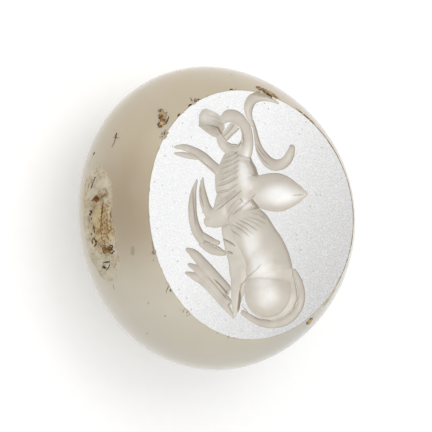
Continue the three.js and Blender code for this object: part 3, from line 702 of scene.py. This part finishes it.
class Tree:
    """A short way to add and link nodes in a material or group."""

    def __init__(self, tree):
        self.nodes = tree.nodes
        self.links = tree.links

    def fill(self, node, values):
        """Sets each named input of a node, or links it where its value is another node's output."""
        for key, value in values.items():
            if isinstance(value, bpy.types.NodeSocket):
                self.links.new(value, node.inputs[key])
            else:
                node.inputs[key].default_value = value
        return node

    def add(self, kind, values=None, **settings):
        node = self.nodes.new(kind)
        for key, value in settings.items():
            setattr(node, key, value)
        return self.fill(node, values or {})

    def math(self, operation, *values, clamp=False):
        node = self.add("ShaderNodeMath", dict(enumerate(values)), operation=operation, use_clamp=clamp)
        return node.outputs[0]

    def group(self, tree, **values):
        return self.add("ShaderNodeGroup", values, node_tree=tree).outputs[0]

    def times(self, one, other):
        return self.math("MULTIPLY", one, other)

    def largest(self, masks):
        out = masks[0]
        for mask in masks[1:]:
            out = self.math("MAXIMUM", out, mask)
        return out

    def vector(self, operation, *values, result="Vector"):
        keys = (0, "Scale") if operation == "SCALE" else (0, 1)
        node = self.add("ShaderNodeVectorMath", dict(zip(keys, values)), operation=operation)
        return node.outputs[result]

    def span(self, *values, smooth=False):
        """A value carried from between two ends to between 0 and 1, or between two more values."""
        kind = "SMOOTHSTEP" if smooth else "LINEAR"
        return self.add("ShaderNodeMapRange", dict(enumerate(values)), interpolation_type=kind).outputs[0]

    def mix(self, factor, low, high):
        node = self.add("ShaderNodeMix", data_type="RGBA")
        return self.fill(node, {0: factor, 6: low, 7: high}).outputs[2]

    def tint(self, colour, mask, strength, other):
        return self.mix(self.times(mask, strength), colour, other)


def new_group(name, inputs, output):
    """A node group with a Vector, inputs with their defaults and one output, and what is in it."""
    tree = bpy.data.node_groups.new(name, "ShaderNodeTree")
    for label, value in {"Vector": (0, 0, 0), **inputs}.items():
        kind = "NodeSocketVector" if isinstance(value, tuple) else "NodeSocketFloat"
        tree.interface.new_socket(label, in_out="INPUT", socket_type=kind).default_value = value
    tree.interface.new_socket(output, in_out="OUTPUT", socket_type="NodeSocketFloat")
    inner = Tree(tree)
    return tree, inner, inner.add("NodeGroupInput").outputs, inner.add("NodeGroupOutput")


def grain_group():
    """Noise stretched to run from 0 to 1 between two edges."""
    inputs = {"Scale": 1000.0, "Detail": 3.0, "From": 0.35, "To": 0.65}
    tree, t, given, out = new_group("stone_grain", inputs, "Value")
    field = t.add("ShaderNodeTexNoise", {label: given[label] for label in ("Vector", "Scale", "Detail")})
    t.fill(out, {0: t.span(field.outputs[0], given["From"], given["To"])})
    return tree


def speck_group():
    """Small scattered dark specks as a mask."""
    tree, t, given, out = new_group("dark_specks", {"Scale": 900.0, "Size": 0.12, "Rarity": 0.9}, "Mask")
    cell = t.add("ShaderNodeTexVoronoi", {"Vector": given["Vector"], "Scale": given["Scale"]})
    inside = t.math("LESS_THAN", cell.outputs["Distance"], given["Size"])
    pick = t.add("ShaderNodeSeparateColor", {0: cell.outputs["Color"]})
    chosen = t.math("GREATER_THAN", pick.outputs[0], given["Rarity"])
    t.fill(out, {0: t.times(inside, chosen)})
    return tree


def mark_group():
    """A short straight mark between two places: 1 on it, falling to 0 round its half width."""
    inputs = {"Start": (0, 0, 0), "Run": (0, 0, 0), "Square": 1.0, "Half": 0.1 * MM}
    tree, t, given, out = new_group("surface_mark", inputs, "Mask")
    away = t.vector("SUBTRACT", given["Vector"], given["Start"])
    dot = t.vector("DOT_PRODUCT", away, given["Run"], result="Value")
    share = t.math("DIVIDE", dot, given["Square"], clamp=True)
    reached = t.vector("SCALE", given["Run"], share)
    apart = t.vector("DISTANCE", away, reached, result="Value")
    t.fill(out, {0: t.span(t.math("DIVIDE", apart, given["Half"]), 1.25, 0.75)})
    return tree


def soft_zone_group():
    """A soft zone round a place: 1 in the middle, falling smoothly to 0 at its reach."""
    inputs = {"Centre": (0, 0, 0), "Reach": (1, 1, 1), "Full": 0.3}
    tree, t, given, out = new_group("soft_zone", inputs, "Mask")
    away = t.vector("SUBTRACT", given["Vector"], given["Centre"])
    far = t.vector("LENGTH", t.vector("DIVIDE", away, given["Reach"]), result="Value")
    t.fill(out, {0: t.span(far, 1.0, given["Full"], smooth=True)})
    return tree


GRAIN = grain_group()
SPECKS = speck_group()
MARK = mark_group()
SOFT_ZONE = soft_zone_group()


def new_material(name):
    material = bpy.data.materials.new(name)
    material.use_nodes = True
    t = Tree(material.node_tree)
    shader = material.node_tree.nodes["Principled BSDF"]
    place = t.add("ShaderNodeTexCoord").outputs["Object"]
    return material, t, shader, place


def grain(t, place, scale, detail=3.0, low=0.35, high=0.65):
    return t.group(GRAIN, Vector=place, Scale=scale, Detail=detail, From=low, To=high)


def specks(t, place, scale, size, rarity):
    return t.group(SPECKS, Vector=place, Scale=scale, Size=size, Rarity=rarity)


def soft_zone(t, place, centre, reach, full):
    """A zone that is full within a share of its reach and fades out over the rest."""
    return t.group(SOFT_ZONE, Vector=place, Centre=Vector(centre) * MM, Reach=Vector(reach) * MM, Full=full)


def zone_on_stone(t, place, zone):
    spot, reach, full = zone
    return soft_zone(t, place, surface(*spot)[0], reach, full)


def ragged(t, place, scale, reach):
    """The place pushed about by noise, which makes what is drawn with it ragged."""
    field = t.add("ShaderNodeTexNoise", {"Vector": place, "Scale": scale, "Detail": 3.0}).outputs["Color"]
    push = t.vector("SUBTRACT", field, (0.5, 0.5, 0.5))
    return t.vector("ADD", place, t.vector("SCALE", push, reach * MM))


def bump(t, height, distance):
    return t.add("ShaderNodeBump", {"Height": height, "Distance": distance * MM}).outputs[0]


def marks_of(kind):
    """The number in MARKS, the half width and the path of each mark of one kind."""
    return [(k, half_width, path) for k, (its, half_width, path) in enumerate(MARKS) if its == kind]


def stained(t, place, colour):
    """Draws the faint stains over a colour."""
    rough_place = ragged(t, place, 3600, 0.16)
    for kind, (tone, strength) in STAIN_TONES.items():
        masks = []
        for _, half_width, path in marks_of(kind):
            points = [surface(*spot)[0] * MM for spot in path]
            for start, end in zip(points, points[1:] or [points[0] + Vector((0, 0, 0.01 * MM))]):
                run = end - start
                masks.append(t.group(MARK, Vector=rough_place, Start=start, Run=run,
                                     Square=run.length_squared, Half=half_width * MM))
        colour = t.tint(colour, t.largest(masks), strength, srgb(*tone))
    return colour


def mottled_cream(t, place):
    """The cream of the weathered mouth, mottled with brown and yellower in its middle."""
    fine = grain(t, place, 5200, detail=4.0, low=0.50, high=0.58)
    broad = grain(t, place, 1300, detail=3.0, low=0.4, high=0.64)
    pale = t.mix(broad, srgb(208, 198, 174), srgb(190, 176, 146))
    yellow = t.mix(broad, srgb(206, 186, 142), srgb(174, 145, 97))
    colour = t.mix(zone_on_stone(t, place, MOUTH_MIDDLE), pale, yellow)
    core = zone_on_stone(t, place, MOUTH_CORE)
    speckled = t.math("ADD", t.times(core, 0.75), t.times(broad, 0.4))
    return t.tint(colour, fine, speckled, srgb(126, 90, 46))


def polished_stone():
    """The dome: cloudy, with a painted shadow of the string hole that browns it on the left, greyer low
    down, and worn round the hole's mouth.
    """
    material, t, shader, place = new_material("polished_stone")
    v_place = t.add("ShaderNodeSeparateXYZ", {0: place}).outputs[1]
    colour = t.mix(t.span(v_place, -7 * MM, 1 * MM), srgb(214, 207, 190), srgb(190, 176, 151))
    # Painted shadow of the string hole, seen through the stone, on the dome's left side
    colour = t.tint(colour, zone_on_stone(t, place, BORE_SHADOW_ZONE), 0.9, srgb(162, 143, 115))
    colour = t.tint(colour, zone_on_stone(t, place, GREY_ZONE), 0.8, srgb(178, 174, 162))
    clouds = grain(t, place, 160, detail=2.0, low=0.3, high=0.7)
    colour = t.tint(colour, clouds, 0.3, srgb(196, 188, 170))
    colour = t.tint(colour, specks(t, place, 420, 0.06, 0.975), 0.4, srgb(128, 106, 78))
    rough_place = ragged(t, place, 900, 1.4)
    mouth = t.largest([zone_on_stone(t, rough_place, zone) for zone in MOUTH_ZONES])
    colour = t.mix(mouth, colour, mottled_cream(t, place))
    wear = grain(t, place, 1500, detail=4.0)
    pitted = grain(t, place, 2600, detail=4.0, low=0.3, high=0.7)
    rough = t.math("ADD", t.span(wear, 0, 1, 0.16, 0.24), t.times(mouth, 0.4), clamp=True)
    height = t.math("ADD", t.times(wear, 0.03), t.times(mouth, pitted))
    t.fill(shader, {"Base Color": stained(t, place, colour), "Roughness": rough,
                    "Normal": bump(t, height, 0.05), "IOR": STONE_IOR, "Subsurface Weight": 0.35,
                    "Subsurface Radius": STONE_SCATTER, "Subsurface Scale": 2.0 * MM,
                    "Sheen Weight": 0.55, "Sheen Roughness": 0.28})
    return material


def frosted_ground():
    """The face: white grains, with painted shade that greys it towards the lower right."""
    material, t, shader, place = new_material("frosted_ground")
    sugar = grain(t, place, 8500, detail=1.5, low=0.34, high=0.66)
    x, y, _ = t.add("ShaderNodeSeparateXYZ", {0: place}).outputs
    # Painted shade: the face greys from the upper left to the lower right, where less light falls
    shade = t.span(t.math("SUBTRACT", t.times(x, 0.8), t.times(y, 0.6)), -3 * MM, 9 * MM)
    light = t.mix(shade, srgb(254, 254, 254), srgb(228, 227, 225))
    dim = t.mix(shade, srgb(240, 240, 241), srgb(204, 203, 204))
    colour = t.mix(sugar, dim, light)
    colour = t.tint(colour, specks(t, place, 2800, 0.20, 0.88), 0.45, srgb(140, 132, 120))
    t.fill(shader, {"Base Color": colour, "Roughness": 0.6, "Normal": bump(t, sugar, 0.03),
                    "IOR": STONE_IOR})
    return material


def cut_stone():
    """The engraving: painted highlights on its floors, and painted shade on its steeper walls and cut edges,
    partly the tan of the polished stone.
    """
    material, t, shader, place = new_material("cut_stone")
    clouds = grain(t, place, 700)
    dull = t.mix(clouds, srgb(204, 196, 183), srgb(216, 209, 198))
    highlight_tone = t.mix(clouds, srgb(242, 240, 236), srgb(250, 249, 246))
    # Painted highlight: soft zones that lighten the floors of the cuts
    painted_highlight = t.largest([
        t.times(soft_zone(t, place, (u, v, FACE_Z - 0.6), (reach_u, reach_v, 3.0), 0.2), strength)
        for (u, v), (reach_u, reach_v), strength in PAINTED_FLOOR_HIGHLIGHTS])
    normal = t.add("ShaderNodeNewGeometry").outputs["Normal"]
    slope = t.add("ShaderNodeSeparateXYZ", {0: normal}).outputs[2]
    # Painted shade: steeper walls are tinted darker, partly the tan of the polished stone
    steep_tan_and_shade = t.span(slope, 0.97, 0.70, smooth=True)
    # Painted shade: the steepest edges of the cuts get a dark line
    painted_edge_shade = t.span(slope, 0.62, 0.32, smooth=True)
    colour = t.tint(t.mix(painted_highlight, dull, highlight_tone), steep_tan_and_shade, 0.8, srgb(206, 198, 186))
    colour = t.tint(colour, painted_edge_shade, 0.7, srgb(158, 146, 128))
    stretched = t.add("ShaderNodeMapping", {"Vector": place, "Scale": (1.0, 0.22, 1.0)}).outputs[0]
    t.fill(shader, {"Base Color": colour, "Roughness": 0.22, "IOR": STONE_IOR,
                    "Normal": bump(t, grain(t, stretched, 3800), 0.009), "Subsurface Weight": 0.2,
                    "Subsurface Radius": STONE_SCATTER, "Subsurface Scale": 0.8 * MM})
    return material


def bore_stone():
    """The rough wall of the string hole, and the earth in its mouth."""
    material, t, shader, place = new_material("bore_stone")
    t.fill(shader, {"Base Color": mottled_cream(t, place), "Roughness": 0.7,
                    "Normal": bump(t, grain(t, place, 1800, detail=4.0), 0.04)})
    return material


def earth_material(name, light, dark, scale=2600, thins=False):
    """Dry burial earth in grains of two browns. It may thin to the cream of the mouth."""
    material, t, shader, place = new_material(name)
    fine = grain(t, place, scale, detail=5.0, low=0.36, high=0.64)
    colour = t.mix(fine, dark, light)
    if thins:
        low_end = zone_on_stone(t, ragged(t, place, 3000, 0.3), ORANGE_END)
        colour = t.mix(low_end, mottled_cream(t, place), colour)
    t.fill(shader, {"Base Color": colour, "Roughness": 0.9, "Normal": bump(t, fine, 0.05)})
    return material


def floor_material():
    """Pale card that glows a little for the camera, so that it looks nearly white."""
    material, t, shader, place = new_material("pale_card")
    colour = t.mix(grain(t, place, 1200, detail=2.0), (0.74, 0.74, 0.74, 1), (0.76, 0.76, 0.76, 1))
    rays = t.add("ShaderNodeLightPath").outputs
    glow = t.math("ADD", t.times(rays["Is Camera Ray"], FLOOR_GLOW),
                  t.times(rays["Is Glossy Ray"], FLOOR_GLOW_IN_GLOSS))
    t.fill(shader, {"Base Color": colour, "Roughness": 0.95, "Specular IOR Level": 0.0,
                    "Emission Color": (1, 1, 1, 1), "Emission Strength": glow})
    return material


# Camera, floor and lights


def add_camera():
    toward = camera_way()
    up = Vector((cos(CAMERA_YAW) * sin(CAMERA_ROLL), cos(CAMERA_ROLL), sin(CAMERA_YAW) * sin(CAMERA_ROLL)))
    up = Matrix.Rotation(OUTLINE_SPIN, 3, "Z") @ up
    right = up.cross(toward).normalized()
    up = toward.cross(right).normalized()
    bpy.ops.object.camera_add()
    camera = bpy.context.object
    camera.name = "photo_camera"
    turn = Matrix((right, up, toward)).transposed()
    place = Vector((0, 0, WIDEST_Z * MM)) + toward * CAMERA_DISTANCE
    camera.matrix_world = Matrix.Translation(place) @ turn.to_4x4()
    camera.data.sensor_width = SENSOR_WIDTH
    camera.data.lens = SENSOR_WIDTH * CAMERA_DISTANCE / VIEW_WIDTH
    camera.data.shift_x = (IMAGE_PIXELS / 2 - BODY_CENTRE_PIXEL[0]) / IMAGE_PIXELS
    camera.data.shift_y = (BODY_CENTRE_PIXEL[1] - IMAGE_PIXELS / 2) / IMAGE_PIXELS
    camera.data.clip_start = 10 * MM
    bpy.context.scene.camera = camera


def add_light(name, place, size, power):
    bpy.ops.object.light_add(type="AREA", location=place)
    light = bpy.context.object
    light.name = name
    light.data.size = size
    light.data.energy = power
    aim = Vector((0, 0, WIDEST_Z * MM)) - Vector(place)
    light.rotation_euler = aim.to_track_quat("-Z", "Y").to_euler()


def add_floor():
    deselect()
    bpy.ops.mesh.primitive_plane_add(size=2.0, location=(0, 0, -0.02 * MM))
    floor = bpy.context.object
    floor.name = "pale_floor"
    floor.data.materials.append(floor_material())


def add_world():
    world = bpy.data.worlds.new("soft_room")
    world.use_nodes = True
    t = Tree(world.node_tree)
    rays = t.add("ShaderNodeLightPath").outputs
    seen = t.largest([rays["Is Camera Ray"], rays["Is Glossy Ray"], rays["Is Transmission Ray"]])
    level = t.span(seen, 0, 1, WORLD_LIGHT, WORLD_SEEN)
    t.fill(world.node_tree.nodes["Background"], {"Color": (1, 1, 1, 1), "Strength": level})
    bpy.context.scene.world = world


# Earth on the stone


def finish_deposit(piece, name, earth):
    piece.name = name
    piece.data.materials.clear()
    piece.data.materials.append(earth)
    select_only(piece)
    bpy.ops.object.shade_smooth_by_angle(angle=radians(40))
    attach(piece, "root")


def joined(parts):
    deselect()
    for part in parts:
        part.select_set(True)
    bpy.context.view_layer.objects.active = parts[0]
    if len(parts) > 1:
        bpy.ops.object.join()
    return bpy.context.object


def lumps_of(name, seed):
    """A burial deposit: its lumps, set side by side along the surface."""
    (azimuth, height), lumps = DEPOSITS[name]
    degrees_per_mm = degrees(1 / surface(azimuth, height)[0].to_2d().length)
    return joined([lump(azimuth + sideways * degrees_per_mm, height + up, half, seed + k, sunk, rough=0.5)
                   for k, (sideways, up, half, sunk) in enumerate(lumps)])


def on_ground(azimuth, height, ground):
    """The point of the finished surface that the photograph shows at a place, and the way out of it."""
    point, normal = surface(azimuth, height)
    for way in (camera_way(), normal):
        casts = [piece.ray_cast((point + way) * MM, -way, distance=2.6 * MM) for piece in ground]
        places = [place / MM for hit, place, _, _ in casts if hit]
        if places:
            return min(places, key=lambda place: (place - point - way).length), normal
    return point, normal


def residue(kind, seed, ground):
    """All the marks of one kind as thin ridges of earth in the surface."""
    parts = []
    for k, half_width, path in marks_of(kind):
        if len(path) == 1:
            azimuth, height = path[0]
            path = [path[0], (azimuth + DOT_DEGREES * half_width, height + DOT_RISE * half_width)]
        spots = in_steps(path)
        places, radii = [], []
        for i, spot in enumerate(spots):
            place, normal = on_ground(*spot, ground)
            wave = noise.noise(Vector((k * 5.3, i * 0.9, seed)))
            end_share = 0.6 if i in (0, len(spots) - 1) else 1.0
            radius = RIDGE_SHARE * half_width * (1 + 0.5 * wave) * end_share
            places.append(place - normal * RIDGE_SUNK * radius)
            radii.append(radius)
        made = tube(places, radii, sides=3, steps=4, twist="MINIMUM")
        for vertex in made.data.vertices:
            push = noise.noise_vector(vertex.co / MM * 9 + Vector((k, 0, 0)))
            vertex.co += push * RIDGE_ROUGHNESS * half_width * MM
        parts.append(made)
    return joined(parts)


# The scene

add_camera()
add_floor()
add_world()
add_light("wide_light", (-0.075, 0.06, 0.11), 0.15, 0.040)
add_light("high_light", (0.0, 0.05, 0.16), 0.09, 0.050)

stone = stone_blank()
carve(stone)
finish_stone(stone)
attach(stone, "root")
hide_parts("seal_stone")

fill = hole_fill()
finish_deposit(fill, "string_hole_earth", bore_stone())
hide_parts("string_hole_fill")
ground = [stone, fill]

light_earth = earth_material("light_earth", srgb(200, 178, 136), srgb(128, 94, 54))
pale_earth = earth_material("pale_earth", srgb(232, 218, 206), srgb(120, 92, 70), scale=7000)
# Dark earth for the residue ridges, which also draws the painted shade line round the right rim
dark_earth_and_rim_shade = earth_material("dark_earth_and_rim_shade", srgb(88, 63, 36), srgb(49, 35, 21))
brown_earth = earth_material("brown_earth", srgb(158, 120, 70), srgb(104, 72, 38))
orange_earth = earth_material("orange_earth", srgb(164, 104, 42), srgb(96, 54, 20))
patchy_earth = earth_material("patchy_earth", srgb(168, 106, 42), srgb(96, 54, 20), thins=True)

EARTHS = {"shoulder_pit_crust": light_earth, "upper_rim_crust": light_earth, "left_rim_crust": pale_earth,
          "lower_rim_crust": light_earth, "mouth_upper_crust": patchy_earth,
          "mouth_lower_crust": brown_earth}
for k, name in enumerate(DEPOSITS):
    deposit = lumps_of(name, seed=3.1 * k)
    finish_deposit(deposit, name.replace("crust", "earth"), EARTHS[name])
    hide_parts(name)
    ground.append(deposit)

RESIDUES = {"dark": dark_earth_and_rim_shade, "brown": brown_earth, "orange": orange_earth}
for seed, (kind, earth) in enumerate(RESIDUES.items()):
    finish_deposit(residue(kind, seed, ground), kind + "_residue", earth)

bpy.context.scene.view_settings.view_transform = "Standard"
